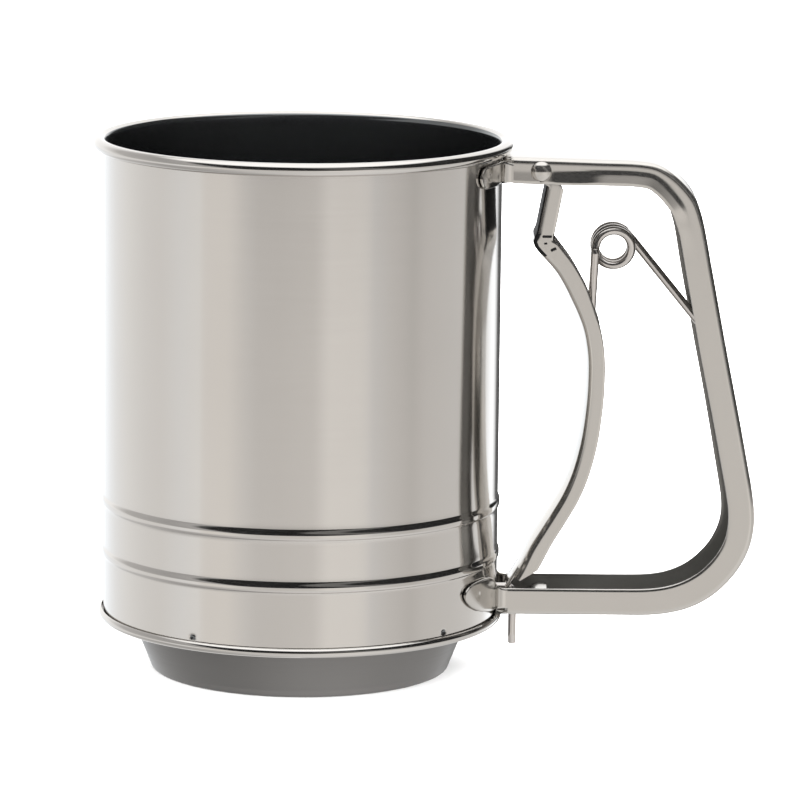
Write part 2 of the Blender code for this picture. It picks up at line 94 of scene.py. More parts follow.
# Outer face of the handle's web as (x, z, far flange depth, near flange depth), rim to foot
HANDLE_PATH = (
    (50.4, 131.5, 6.2, 6.2), (55.0, 131.4, 6.2, 6.2), (60.0, 131.3, 6.2, 6.2),
    (74.0, 130.95, 6.0, 6.0), (84.0, 130.65, 6.0, 6.0), (88.4, 129.9, 6.1, 6.1),
    (92.0, 127.9, 6.3, 6.3), (95.3, 124.9, 6.6, 6.5), (98.1, 121.3, 6.9, 6.65),
    (99.7, 117.6, 7.1, 6.7), (100.8, 114.0, 7.2, 6.7), (102.8, 104.1, 7.4, 6.75),
    (104.8, 94.0, 7.4, 6.8), (106.8, 83.9, 7.4, 6.85), (108.9, 73.7, 7.4, 6.8),
    (111.0, 63.5, 7.55, 6.8), (113.0, 53.3, 7.7, 6.8), (114.0, 48.1, 7.75, 6.8),
    (114.6, 43.0, 7.6, 6.7), (114.4, 37.9, 7.35, 6.55), (113.1, 32.7, 7.2, 6.4),
    (110.3, 27.3, 7.1, 6.45), (106.4, 22.7, 7.1, 6.6), (102.4, 19.6, 7.0, 6.75),
    (98.1, 17.5, 6.9, 6.8), (93.6, 16.3, 6.7, 6.7), (88.5, 15.7, 6.6, 6.6),
    (80.0, 15.62, 6.5, 6.5), (70.0, 15.6, 6.5, 6.5), (55.0, 15.6, 6.5, 6.5),
    (50.4, 15.6, 6.5, 6.5),
)

# Face of the trigger's web toward the drum as (x, z, flange depth)
TRIGGER_PATH = (
    (61.7, 124.4, 3.6), (60.4, 117.4, 3.6), (59.5, 112.4, 3.6), (59.2, 110.4, 3.9),
    (59.8, 108.3, 4.0), (61.6, 105.9, 4.0), (64.1, 102.6, 4.0), (66.2, 99.1, 4.0),
    (67.9, 95.7, 4.0), (69.5, 92.3, 4.0), (70.9, 88.6, 4.0), (71.8, 84.6, 4.0),
    (72.3, 80.2, 4.0), (72.35, 75.6, 4.0), (72.15, 70.7, 4.0), (71.7, 65.8, 4.0),
    (71.0, 60.7, 4.0), (69.9, 55.5, 4.0), (68.4, 50.5, 4.0), (66.3, 45.6, 4.0),
    (63.5, 40.7, 4.0), (60.6, 35.9, 4.0), (57.5, 30.8, 4.4), (53.9, 24.8, 4.8),
)

# Middle of the trigger's foot as (x, z): down from the web's end, along the bar and up to a lip
FOOT_PATH = (
    (55.2, 26.8), (53.9, 24.6), (52.4, 22.0), (51.8, 20.3), (51.8, 18.5), (52.1, 17.6),
    (52.9, 17.05), (55.0, 17.05), (57.4, 17.05), (58.3, 17.5), (58.9, 18.6), (59.6, 19.6),
    (60.8, 19.95), (62.6, 19.95),
)

# Outline of the trigger's ears round the pivot as (x, z)
TRIGGER_EAR = (
    (62.4, 118.9), (63.8, 119.4), (64.5, 121.4), (65.0, 123.0), (64.8, 124.4), (64.0, 126.0),
    (62.6, 127.6), (61.3, 129.7), (60.3, 130.45), (59.5, 130.6), (58.4, 130.3), (57.6, 129.6),
    (57.25, 128.4), (57.5, 127.3), (58.3, 126.4), (60.6, 124.9), (62.3, 123.6), (62.6, 121.6),
)

# How a cut edge rounds off, as (way back from the edge in thicknesses, share of the thickness)
ROUNDED_EDGE = ((0.0, 0.3), (0.1, 0.75), (0.3, 1.0))


# -------- meshes


def place(points):
    """Millimetres about the drum's axis as metres in the frame."""
    return (np.asarray(points, float) + (AXIS_X, 0.0, 0.0)) * MM


def add_object(name, data):
    obj = bpy.data.objects.new(name, data)
    bpy.context.scene.collection.objects.link(obj)
    return obj


def solid(name, points, faces):
    """An object from points in millimetres, with its faces turned outward."""
    mesh = bpy.data.meshes.new(name)
    mesh.from_pydata(place(points).tolist(), [], faces)
    work = bmesh.new()
    work.from_mesh(mesh)
    bmesh.ops.recalc_face_normals(work, faces=work.faces)
    work.to_mesh(mesh)
    work.free()
    return add_object(name, mesh)


def shade(obj, degrees):
    """Smooth shading, with every edge that turns more than this left sharp."""
    work = bmesh.new()
    work.from_mesh(obj.data)
    for face in work.faces:
        face.smooth = True
    for edge in work.edges:
        edge.smooth = edge.calc_face_angle(0.0) < math.radians(degrees)
    work.to_mesh(obj.data)
    work.free()


def coat(obj, material, degrees):
    """Give a piece one finish and its shading."""
    obj.data.materials.clear()
    obj.data.materials.append(material)
    shade(obj, degrees)


def dress(obj, material, body, nodes, degrees=35.0):
    """Finish a piece, tie it to its body and hide the CAD nodes that it stands for."""
    coat(obj, material, degrees)
    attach(obj, body)
    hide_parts(*nodes)


def paint(obj, material, chosen):
    """Give another finish to the faces that chosen(centre, normal) picks; centres are in mm."""
    obj.data.materials.append(material)
    axis = Vector((AXIS_X, 0.0, 0.0))
    for face in obj.data.polygons:
        if chosen(face.center / MM - axis, face.normal):
            face.material_index = len(obj.data.materials) - 1


def combine(obj, operation, shape):
    """One exact boolean step between an object and a (points, faces) shape."""
    tool = solid("tool", *shape)
    modifier = obj.modifiers.new("cut", "BOOLEAN")
    modifier.operation = operation
    modifier.solver = "EXACT"
    modifier.object = tool
    bpy.context.view_layer.update()
    result = obj.evaluated_get(bpy.context.evaluated_depsgraph_get())
    mesh = bpy.data.meshes.new_from_object(result)
    obj.modifiers.clear()
    obj.data = mesh
    bpy.data.objects.remove(tool, do_unlink=True)


def cut(obj, shape):
    combine(obj, "DIFFERENCE", shape)


def join(obj, shape):
    combine(obj, "UNION", shape)


def bridge(first, second, size):
    """Faces between two loops of this size, given the number of each loop's first point."""
    faces = []
    for k in range(size):
        n = (k + 1) % size
        faces.append((first + k, first + n, second + n, second + k))
    return faces


def rings(loops, closed):
    """Faces between successive loops of equal length, with end caps unless it closes."""
    loops = np.asarray(loops, float)
    count, size = loops.shape[:2]
    faces = []
    for i in range(count if closed else count - 1):
        faces += bridge(i * size, (i + 1) % count * size, size)
    if not closed:
        faces.append(tuple(range(size)))
        faces.append(tuple(range((count - 1) * size, count * size)))
    return loops.reshape(-1, 3), faces


def around(profile, angles):
    """A closed (radius, z) outline turned about Z through the given angles."""
    r, z = np.asarray(profile, float).T
    return rings([np.stack((r * math.cos(a), r * math.sin(a), z), axis=1) for a in angles], closed=True)


def full_turn(steps):
    """Angles of a whole turn."""
    return 2 * math.pi * np.arange(steps) / steps


def level_ring(radius, z, angles):
    """Points about Z at one height; the radius may be one value for each angle."""
    return np.stack((radius * np.cos(angles), radius * np.sin(angles), np.full(len(angles), z)), axis=1)


def turned(profile, segments):
    """A solid turned about Z from (radius, z) stations, flat at both ends."""
    angles = full_turn(segments)
    return rings([level_ring(r, z, angles) for r, z in profile], closed=False)


def lathe(profile, segments):
    """A closed (radius, z) outline turned all the way about Z."""
    return around(profile, full_turn(segments))


def arc(centre, radius, start, end, steps):
    """Points of a circular arc in a plane, angles in degrees."""
    a = np.radians(np.linspace(start, end, steps + 1))
    return [(centre[0] + radius * math.cos(t), centre[1] + radius * math.sin(t)) for t in a]


def between(t, t0, p0, t1, p1):
    """The point at t on the line that is at p0 when t is t0, and at p1 when t is t1."""
    return (t1 - t) / (t1 - t0) * p0 + (t - t0) / (t1 - t0) * p1


def smooth_path(points, spacing, closed=False):
    """Points along a centripetal spline through the given points, about evenly spaced."""
    points = np.asarray(points, float)
    if closed:
        points = np.vstack((points[-1:], points, points[:2]))
    else:
        first = 2 * points[0] - points[1]
        last = 2 * points[-1] - points[-2]
        points = np.vstack((first, points, last))
    out = []
    for i in range(1, len(points) - 2):
        p0, p1, p2, p3 = points[i - 1 : i + 3]
        before, here, after = (np.linalg.norm(step) for step in np.diff(points[i - 1 : i + 3, :2], axis=0))
        t0 = 0.0
        t1 = math.sqrt(before)
        t2 = t1 + math.sqrt(here)
        t3 = t2 + math.sqrt(after)
        steps = max(1, round(here / spacing))
        for t in t1 + (t2 - t1) * np.arange(steps) / steps:
            a1 = between(t, t0, p0, t1, p1)
            a2 = between(t, t1, p1, t2, p2)
            a3 = between(t, t2, p2, t3, p3)
            b1 = between(t, t0, a1, t2, a2)
            b2 = between(t, t1, a2, t3, a3)
            out.append(between(t, t1, b1, t2, b2))
    if not closed:
        out.append(points[-2])
    return np.array(out)


def sheet(sections):
    """A closed sheet from sections of (outer, inner) point pairs."""
    sections = np.asarray(sections, float)
    count, pairs = sections.shape[:2]
    loops = np.concatenate((sections[:, :, 0], sections[:, ::-1, 1]), axis=1)
    size = 2 * pairs
    faces = []
    for i in range(count - 1):
        faces += bridge(i * size, (i + 1) * size, size)
    for a in (0, (count - 1) * size):
        for k in range(pairs - 1):
            faces.append((a + k, a + k + 1, a + size - 2 - k, a + size - 1 - k))
    return loops.reshape(-1, 3), faces


def u_half(half_width, thick, bend_r, depth, crown, push):
    """Half a U-section from its free edge to the web's middle, as (y, s, ny, ns, half thickness)."""
    flange_steps = 10
    bend_steps = 8
    half = thick / 2
    mid = bend_r - half
    line = []
    for back, share in ROUNDED_EDGE:
        line.append((half_width - half, depth - back * thick, 1.0, 0.0, half * share))
    for k in range(flange_steps - 1, 0, -1):
        s = bend_r + (depth - half - bend_r) * k / flange_steps
        line.append((half_width - half, s, 1.0, 0.0, half))
    for k in range(bend_steps + 1):
        a = math.pi / 2 * k / bend_steps
        y = half_width - bend_r + mid * math.cos(a)
        line.append((y, bend_r - mid * math.sin(a), math.cos(a), -math.sin(a), half))
    for share in (0.8, 0.6, 0.4, 0.2):
        line.append(((half_width - bend_r) * share, half, 0.0, -1.0, half))
    bowed = []
    for y, s, ny, ns, h in line:
        fade = min(1.0, max(0.0, (depth - s) / (depth - bend_r)))
        bowed.append((y, s + fade * (crown * (y / half_width) ** 2 - push), ny, ns, h))
    return bowed


def u_section(half_width, thick, bend_r, far_depth, near_depth, crown, push):
    """A U-section, its web bowed by crown and pushed out; s runs inward, near is -Y."""
    far = u_half(half_width, thick, bend_r, far_depth, crown, push)
    near = u_half(half_width, thick, bend_r, near_depth, crown, push)
    other = [(-y, s, -ny, ns, h) for y, s, ny, ns, h in reversed(near)]
    return far + [(0.0, thick / 2 - push, 0.0, -1.0, thick / 2)] + other


def swept(path, side, section):
    """Sections of a sheet along (x, z, ...) points; section(i, point) gives the line across it."""
    tangent = np.gradient(path[:, :2], axis=0)
    tangent /= np.linalg.norm(tangent, axis=1)[:, None]
    inward = np.stack((-tangent[:, 1], tangent[:, 0]), axis=1) * side
    sections = []
    for i, point in enumerate(path):
        pairs = []
        for y, s, ny, ns, h in section(i, point):
            pair = []
            for sign in (1, -1):
                depth = s + sign * h * ns
                x, z = point[:2] + inward[i] * depth
                pair.append((x, y + sign * h * ny, z))
            pairs.append(pair)
        sections.append(pairs)
    return np.array(sections)


def plate(outline, low, high, edge, lay):
    """A flat plate with eased edges; lay(u, v, level) gives each point."""
    outline = np.asarray(outline, float)
    tangent = np.roll(outline, -1, axis=0) - np.roll(outline, 1, axis=0)
    tangent /= np.linalg.norm(tangent, axis=1)[:, None]
    u, v = outline.T
    area = np.sum(u * np.roll(v, -1) - np.roll(u, -1) * v)
    inward = np.stack((-tangent[:, 1], tangent[:, 0]), axis=1) * math.copysign(1.0, area)
    rounding = ((0.0, edge), (edge * 0.3, edge * 0.3), (edge, 0.0))
    levels = [(low + up, inset) for up, inset in rounding]
    levels += [(high - down, inset) for down, inset in reversed(rounding)]
    loops = []
    for level, inset in levels:
        loops.append([lay(u, v, level) for u, v in outline + inward * inset])
    return rings(loops, closed=False)


def upright(u, v, level):
    """An outline in (x, z), its thickness along y."""
    return (u, level, v)


def flat(u, v, level):
    """An outline in (x, y), its thickness along z."""
    return (u, v, level)


def outward(u, v, level):
    """An outline in (y, z), its thickness along x."""
    return (level, u, v)


def prism(outline, low, high, lay):
    """A straight-sided block on an outline, from one level to another."""
    return rings([[lay(u, v, level) for u, v in outline] for level in (low, high)], closed=False)


def circle(radius, steps, centre=(0.0, 0.0)):
    return [(centre[0] + radius * math.cos(a), centre[1] + radius * math.sin(a)) for a in full_turn(steps)]


def pivot_hole():
    """What both sheets lose round the pivot's pin."""
    return prism(circle(PIVOT_HOLE_R, 32, PIVOT), -12.0, 12.0, upright)


def slot_outline(low, high, half, steps=12):
    """A slot with round ends, along u from low to high."""
    outline = arc((high - half, 0.0), half, 90, -90, steps)
    return outline + arc((low + half, 0.0), half, -90, -270, steps)


def tube(path, radius, sides=18, tip=0.0):
    """A round wire along a path, its ends eased when a tip length is given."""
    path = [Vector(p) for p in path]
    radii = [radius] * len(path)
    if tip:
        head = [(0.0, 0.45), (0.35, 0.8), (1.0, 1.0)]
        into = (path[1] - path[0]).normalized()
        out = (path[-2] - path[-1]).normalized()
        first = [path[0] + into * tip * along for along, _ in head]
        last = [path[-1] + out * tip * along for along, _ in reversed(head)]
        eased = [radius * share for _, share in head]
        radii = eased + radii[1:-1] + eased[::-1]
        path = first + path[1:-1] + last
    normal = (path[1] - path[0]).orthogonal().normalized()
    loops = []
    for i, point in enumerate(path):
        before = path[max(i - 1, 0)]
        after = path[min(i + 1, len(path) - 1)]
        tangent = (after - before).normalized()
        normal = (normal - tangent * normal.dot(tangent)).normalized()
        other = tangent.cross(normal)
        ring = [normal * math.cos(a) + other * math.sin(a) for a in full_turn(sides)]
        loops.append([tuple(point + out * radii[i]) for out in ring])
    return rings(loops, closed=False)


def corner(before, at, after, radius, steps=10):
    """Points that round the corner of a path at the given bend radius."""
    before, at, after = Vector(before), Vector(at), Vector(after)
    into = (before - at).normalized()
    out = (after - at).normalized()
    half = into.angle(out) / 2
    reach = radius / math.tan(half)
    centre = at + (into + out).normalized() * (radius / math.sin(half))
    start = (at + into * reach - centre).normalized()
    end = (at + out * reach - centre).normalized()
    return [tuple(centre + start.slerp(end, i / steps) * radius) for i in range(steps + 1)]


def spin(points, angle):
    """Turn points about the drum's axis."""
    x, y, z = np.asarray(points, float).T
    c, s = math.cos(angle), math.sin(angle)
    return np.stack((x * c - y * s, x * s + y * c, z), axis=1)


# -------- finishes


def add(tree, kind, inputs=None, **settings):
    """A node with its settings and inputs; an input that is a socket is linked."""
    node = tree.nodes.new(kind)
    for key, value in settings.items():
        setattr(node, key, value)
    for key, value in (inputs or {}).items():
        if isinstance(value, bpy.types.NodeSocket):
            tree.links.new(value, node.inputs[key])
        else:
            node.inputs[key].default_value = value
    return node


def math_node(tree, operation, *values):
    return add(tree, "ShaderNodeMath", dict(enumerate(values)), operation=operation).outputs[0]


def mix(tree, factor, a, b):
    """Two colours mixed; each is a socket or a plain (red, green, blue)."""
    node = add(tree, "ShaderNodeMix", {"Factor": factor}, data_type="RGBA")
    sockets = [s for s in node.inputs if s.type == "RGBA"]
    for socket, value in zip(sockets, (a, b)):
        if isinstance(value, bpy.types.NodeSocket):
            tree.links.new(value, socket)
        else:
            socket.default_value = (*value, 1.0)
    return [s for s in node.outputs if s.type == "RGBA"][0]


def noise(tree, coords, scale, detail=3.0, size=1.0, rough=0.5):
    """Noise stretched by a per-axis scale in 1/metre."""
    mapping = add(tree, "ShaderNodeMapping", {"Vector": coords, "Scale": scale})
    node = add(
        tree,
        "ShaderNodeTexNoise",
        {"Vector": mapping.outputs[0], "Scale": size, "Detail": detail, "Roughness": rough},
    )
    return node.outputs["Fac"]


def new_material(name):
    material = bpy.data.materials.new(name)
    material.use_nodes = True
    return material, material.node_tree.nodes["Principled BSDF"]


def metal(name, colour, tint, rough, grain, waves, anisotropy=0.0, smudge=0.04, bare=True):
    """Worked sheet or wire: fine grain along one direction, faint waves and handling marks.

    rough is (least roughness, what the grain adds), smudge what the marks add; grain is the noise's
    scale along x, y and z in 1/metre; waves is the strength of the grain's bump and of the waves'.
    """
    material, shader = new_material(name)
    tree = material.node_tree
    coords = add(tree, "ShaderNodeTexCoord").outputs["Object"]
    fine = noise(tree, coords, grain, 4.0, rough=0.6)
    broad = noise(tree, coords, (38.0, 38.0, 30.0), 2.0)
    marks = noise(tree, coords, (160.0, 160.0, 160.0), 5.0, rough=0.65)
    tree.links.new(mix(tree, broad, colour, tint), shader.inputs["Base Color"])
    level = math_node(tree, "MULTIPLY_ADD", fine, rough[1], rough[0])
    stain = math_node(tree, "MULTIPLY_ADD", marks, smudge, level)
    tree.links.new(stain, shader.inputs["Roughness"])
    shader.inputs["Metallic"].default_value = 1.0 if bare else 0.0
    shader.inputs["Specular IOR Level"].default_value = 0.5 if bare else 0.1
    bump = add(tree, "ShaderNodeBump", {"Height": fine, "Strength": waves[0], "Distance": 0.00002})
    sway = noise(tree, coords, (24.0, 24.0, 9.0), 1.0)
    bend = add(
        tree,
        "ShaderNodeBump",
        {"Height": sway, "Strength": waves[1], "Distance": 0.0004, "Normal": bump.outputs[0]},
    )
    tree.links.new(bend.outputs[0], shader.inputs["Normal"])
    if anisotropy:
        shader.inputs["Anisotropic"].default_value = anisotropy
        shader.inputs["Anisotropic Rotation"].default_value = 0.25
        tangent = add(tree, "ShaderNodeTangent", direction_type="RADIAL", axis="Z")
        tree.links.new(tangent.outputs[0], shader.inputs["Tangent"])
    return material


def make_finishes():
    """Every finish by its name, each with its colours, roughness, grain and waves for metal()."""
    rolled = (50.0, 50.0, 2400.0)
    spun = (60.0, 60.0, 1800.0)
    pressed = (900.0, 60.0, 120.0)
    lathed = (300.0, 300.0, 1500.0)
    wire = (500.0, 500.0, 500.0)
    fine_wire = (400.0, 400.0, 400.0)
    inner = (300.0, 60.0, 300.0)
    light = ((0.60, 0.58, 0.555), (0.63, 0.61, 0.585))
    # dark is a painted shade colour, for the drum's inside
    dark = ((0.18, 0.19, 0.195), (0.22, 0.23, 0.235))
    # black is a painted shade colour, for the trigger
    black = ((0.003, 0.003, 0.003), (0.006, 0.006, 0.006))
    looks = {
        "rolled_sheet": (*light, (0.1, 0.04), rolled, (0.1, 0.02), 0.8, 0.02),
        "satin_spun_sheet": ((0.47, 0.46, 0.45), (0.52, 0.51, 0.50), (0.3, 0.12), spun, (0.2, 0.02), 0.4),
        "polished_sheet": ((0.57, 0.55, 0.52), (0.605, 0.585, 0.555), (0.1, 0.06), pressed, (0.08, 0.05)),
        "machined_steel": ((0.56, 0.55, 0.53), (0.60, 0.59, 0.57), (0.2, 0.12), lathed, (0.15, 0.02)),
        "screen_wire": ((0.5, 0.49, 0.47), (0.55, 0.54, 0.52), (0.3, 0.1), fine_wire, (0.1, 0.0)),
        "drawn_wire": ((0.60, 0.57, 0.545), (0.64, 0.61, 0.585), (0.1, 0.06), wire, (0.08, 0.0)),
        # Painted shade: a dark colour on the drum's inside, standing in for the shade and dark reflections
        # within it
        "drum_painted_shade": (*dark, (0.12, 0.05), rolled, (0.05, 0.02), 0.0, 0.02),
        "formed_sheet": (*light, (0.04, 0.03), rolled, (0.05, 0.02), 0.0, 0.01),
        # Painted shade: a darker colour for the skirt, standing in for its reflection of its own shadow on
        # the paper
        "skirt_painted_shade": ((0.2, 0.195, 0.19), (0.24, 0.235, 0.23), (0.32, 0.12), spun, (0.2, 0.02), 0.4),
        # Painted shade: a dark colour for the inside of the handle's channel
        "channel_painted_shade": ((0.2, 0.195, 0.185), (0.28, 0.275, 0.26), (0.3, 0.1), inner, (0.1, 0.02)),
        # Painted shade: near-black and not metal, for the trigger's web above the kink and the creases
        # beside it
        "trigger_painted_shade": (*black, (0.45, 0.1), inner, (0.1, 0.02), 0.0, 0.04, False),
    }
    return {name: metal(name, *look) for name, look in looks.items()}


# -------- drum and collar


def bead_stations(top, radius):
    """Stations of one rolled bead, from its foot up: a crease, a flat band, a long flank."""
    shape = (
        (-BEAD_HIGH, 0.0), (-2.9, 0.05), (-2.78, 0.2), (-2.62, 0.36),
        (-2.4, 0.43), (-2.0, 0.45), (-1.55, 0.45), (-1.25, 0.42),
        (-1.0, 0.34), (-0.7, 0.19), (-0.4, 0.07), (-0.15, 0.015),
        (0.0, 0.0),
    )
    return [(radius + rise, top + z) for z, rise in shape]


def wall(radius, low, high, step):
    """Stations up a straight wall, about a step apart."""
    count = max(1, round((high - low) / step))
    return [(radius, low + (high - low) * i / count) for i in range(count + 1)]


def beaded_wall(radius, step):
    """Stations from the foot of the lower bead up to the rim."""
    stations = bead_stations(BEAD_TOPS[0], radius) + wall(radius, 33.0, 41.0, 3.0)
    return stations + bead_stations(BEAD_TOPS[1], radius) + wall(radius, 46.5, 132.6, step)


def build_drum(material, painted_shade, bright):
    """Rolled sheet with a curled rim, two beads and, in front, two dents that lock it to the foot."""
    inner_r = DRUM_R - SHEET
    curl_r = 0.95
    centre = (DRUM_R + curl_r, RIM_Z)
    outside = [(DRUM_R, DRUM_LOW)] + wall(DRUM_R, 14.2, 18.2, 0.25)
    outside += wall(DRUM_R, 19.0, 28.4, 2.0) + beaded_wall(DRUM_R, 6.0)
    curl = arc(centre, curl_r, 180, -115, 28)
    curl += arc(centre, curl_r + SHEET, -115, 180, 36)
    inside = beaded_wall(inner_r, 12.0)[::-1]
    inside += [(inner_r, 26.0), (inner_r, 18.2), (inner_r, DRUM_LOW)]
    profile = outside + curl + inside

    # The angles close up round each dent
    dents = [math.radians(-90 - 30.8), math.radians(-90 + 46.6)]
    dent_z = 16.3
    dent_depth = 0.42
    dent_half_width = 0.75
    dent_half_height = 0.55
    angles = set(np.round(np.radians(np.arange(0.0, 360.0, 1.5)), 6))
    for dent in dents:
        for k in np.arange(-2.4, 2.41, 0.3):
            angles.add(round((dent + math.radians(k)) % (2 * math.pi), 6))
    points, faces = around(profile, sorted(angles))
    x, y, z = points.T
    theta = np.arctan2(y, x)
    radius = np.hypot(x, y)
    for dent in dents:
        away = (theta - dent + math.pi) % (2 * math.pi) - math.pi
        reach = (away * DRUM_R / dent_half_width) ** 2
        reach += ((z - dent_z) / dent_half_height) ** 2
        radius = radius - dent_depth * np.exp(-reach) * (z < 20)
    points = np.stack((radius * np.cos(theta), radius * np.sin(theta), z), axis=1)
    drum = solid("drum_sheet", points, faces)
    cut(drum, prism(circle(ROD_SLOT_HALF, 24, (0.0, ROD_Z)), DRUM_R - 5.0, DRUM_R + 4.0, outward))
    dress(drum, material, "drum", ["body_shell"], 40.0)

    def inner(centre, normal):
        radius = math.hypot(centre.x, centre.y)
        return radius < DRUM_R - 0.1 and centre.z < 133.0 or radius < DRUM_R - SHEET / 2

    def formed(centre, normal):
        radius = math.hypot(centre.x, centre.y)
        bead = any(top - BEAD_HIGH - 0.05 < centre.z < top + 0.2 for top in BEAD_TOPS)
        return radius >= DRUM_R - SHEET / 2 and (centre.z > RIM_Z - 1.9 or bead)

    # Painted shade: the inner wall and the curl's inner half take the dark colour
    paint(drum, painted_shade, inner)
    paint(drum, bright, formed)


def build_collar(material, painted_skirt_shade, bright):
    """Tapered foot with a rolled hem, a step, and the seam folded over the drum's edge."""
    foot_r = 37.7
    slope = math.tan(math.radians(22.5))

    def skirt(z):
        return foot_r + z * slope

    outside = [(36.2, 0.0), (37.3, 0.0), (37.62, 0.12), (skirt(0.35) + 0.02, 0.4)]
    outside += [(skirt(1.2), 1.25), (skirt(1.55) - 0.1, 1.6)]
    outside += [(skirt(z) - 0.08, z) for z in (2.0, 4.5, 7.0, 9.5, 11.6)]
    neck = skirt(12.4)
    outside += [(neck + 0.02, 12.45), (neck + 0.3, 12.8), (neck + 0.8, 12.98), (44.6, 13.0)]
    outside += [(47.0, 12.98), (49.5, 12.92)]
    outside += arc((49.95, 14.18), 1.26, 275, 424, 18)
    inside = [(50.36, 15.1), (50.36, 13.72)]
    inside += [(47.0, 13.65), (43.6, 13.62), (skirt(12.6) - 0.6, 13.3), (skirt(11.6) - 0.85, 12.3)]
    inside += [(skirt(z) - 0.85, z) for z in (9.5, 7.0, 4.5, 2.6)]
    inside += [(skirt(1.9) - 0.95, 1.95), (36.2, 1.45), (35.92, 1.2), (35.9, 0.5), (35.98, 0.15)]
    collar = solid("foot_collar", *lathe(outside + inside, 256))
    dress(collar, material, "drum", ["base_collar"], 50.0)

    # Painted shade: the skirt below the step takes the darker colour of its mirrored shadow
    paint(collar, painted_skirt_shade, lambda centre, normal: centre.z < 12.5)
    paint(collar, bright, lambda centre, normal: math.hypot(centre.x, centre.y) > 49.6)


# -------- screen and bar


def screen_top(radius):
    """Height of the dished screen: flat at its clamped edge, lowest in the middle."""
    edge_r = 42.0
    edge_z = 14.3
    dish = 4.0
    return edge_z - dish * (1 - min(radius / edge_r, 1.0) ** 2)


def build_screen(material, steel):
    """Two sets of crimped wires woven over and under each other on the dished form."""
    pitch = 1.45
    wire = 0.11
    reach = 48.5
    half = int((reach - 1.0) / pitch)
    sides = 5
    ring = full_turn(sides)
    points = []
    faces = []
    for axis in (0, 1):
        for i in range(-half, half + 1):
            across = i * pitch
            end = math.sqrt(reach**2 - across**2)
            cells = int(end / pitch)
            along = [-end] + [k * pitch / 2 for k in range(-2 * cells, 2 * cells + 1)] + [end]
            base = len(points)
            for u in along:
                r = math.hypot(u, across)
                weave = math.cos(math.pi * (u / pitch + i + axis)) * wire
                z = screen_top(r) - 0.2 + weave
                for a in ring:
                    side = across + wire * math.cos(a)
                    up = z + wire * math.sin(a)
                    points.append((u, side, up) if axis == 0 else (side, u, up))
            last = base + (len(along) - 1) * sides
            for a in range(base, last, sides):
                faces += bridge(a, a + sides, sides)
            faces.append(tuple(range(base, base + sides)))
            faces.append(tuple(range(last, last + sides)))
    screen = solid("woven_screen", points, faces)
    dress(screen, material, "drum", ["sifting_screen"], 80.0)

    round_r = 0.3
    profile = [(46.2, 14.95)] + arc((46.5, 14.9), round_r, 180, 270, 5)
    profile += arc((48.6, 14.9), round_r, 270, 360, 5) + arc((48.6, 15.9), round_r, 0, 90, 5)
    profile += [(47.9, 16.2), (47.55, 16.0), (47.2, 16.2)]
    profile += arc((46.5, 15.9), round_r, 90, 180, 5)
    ring_piece = solid("clamp_ring", *lathe(profile, 192))
    dress(ring_piece, steel, "drum", ["screen_ring"], 45.0)


def strip_line(half_width, thick, cells=1):
    """Section of a flat strip across y, with rounded edges."""
    half = thick / 2
    line = [(half_width - back * thick, half, 0.0, -1.0, half * s) for back, s in ROUNDED_EDGE]
    inner = half_width - 0.3 * thick
    for k in range(1, cells):
        line.append((inner * (1 - 2 * k / cells), half, 0.0, -1.0, half))
    line += [(-y, s, ny, ns, h) for y, s, ny, ns, h in reversed(line[:3])]
    return line


def build_bar(steel):
    """Flat bar across the drum with round-bent ends up the wall and two weld spots in each."""
    reach = 48.75
    bar_z = 27.0
    bend_r = 1.5
    path = [(-reach, z) for z in (36.9, 36.0, 33.0, 30.0, 28.6)]
    path += arc((-reach + bend_r, bar_z + bend_r), bend_r, 180, 270, 8)[1:]
    path += [(x, bar_z) for x in (-42.0, -30.0, -15.0, -5.0)]
    path += [(-x, z) for x, z in reversed(path)]
    line = strip_line(4.5, 1.0)
    sections = swept(np.array(path), 1.0, lambda i, p: line)
    sections = sections[..., [1, 0, 2]]
    bar = solid("bar_strap", *sheet(sections))
    cut(bar, prism(circle(POST_BORE_R, 32), bar_z - 2.0, bar_z + 3.0, flat))
    points, faces = turned([(1.3, 0.0), (1.15, 0.12), (0.6, 0.2)], 24)
    for side in (-1, 1):
        for spot_z in (31.2, 34.6):
            cut(bar, ([(x, side * (47.82 - h), spot_z + y) for x, y, h in points], faces))
    dress(bar, steel, "drum", ["cross_bar"], 35.0)


def washer(name, node, low, high, steel):
    """Flat ring on the post with all four edges eased."""
    edge = 0.12
    outer = 4.5
    profile = [(POST_BORE_R, low + edge), (POST_BORE_R + edge, low)]
    profile += [(outer - edge, low), (outer, low + edge)]
    profile += [(outer, high - edge), (outer - edge, high)]
    profile += [(POST_BORE_R + edge, high), (POST_BORE_R, high - edge)]
    dress(solid(name, *lathe(profile, 64)), steel, "drum", [node], 30.0)


def nut(name, node, low, high, steel):
    """Hexagon nut with both faces chamfered and a countersunk bore."""
    flats = 4.0
    outer = flats / math.cos(math.pi / 6)
    body = solid(name, *prism(circle(outer, 6), low, high, flat))
    chamfer = [(flats, low), (outer + 0.05, low + 0.35), (outer + 0.05, high - 0.35), (flats, high)]
    combine(body, "INTERSECT", turned(chamfer, 64))
    bore = [(3.1, low - 0.01), (2.82, low + 0.3), (2.82, high - 0.3), (3.1, high + 0.01)]
    cut(body, turned(bore, 48))
    dress(body, steel, "drum", [node], 25.0)


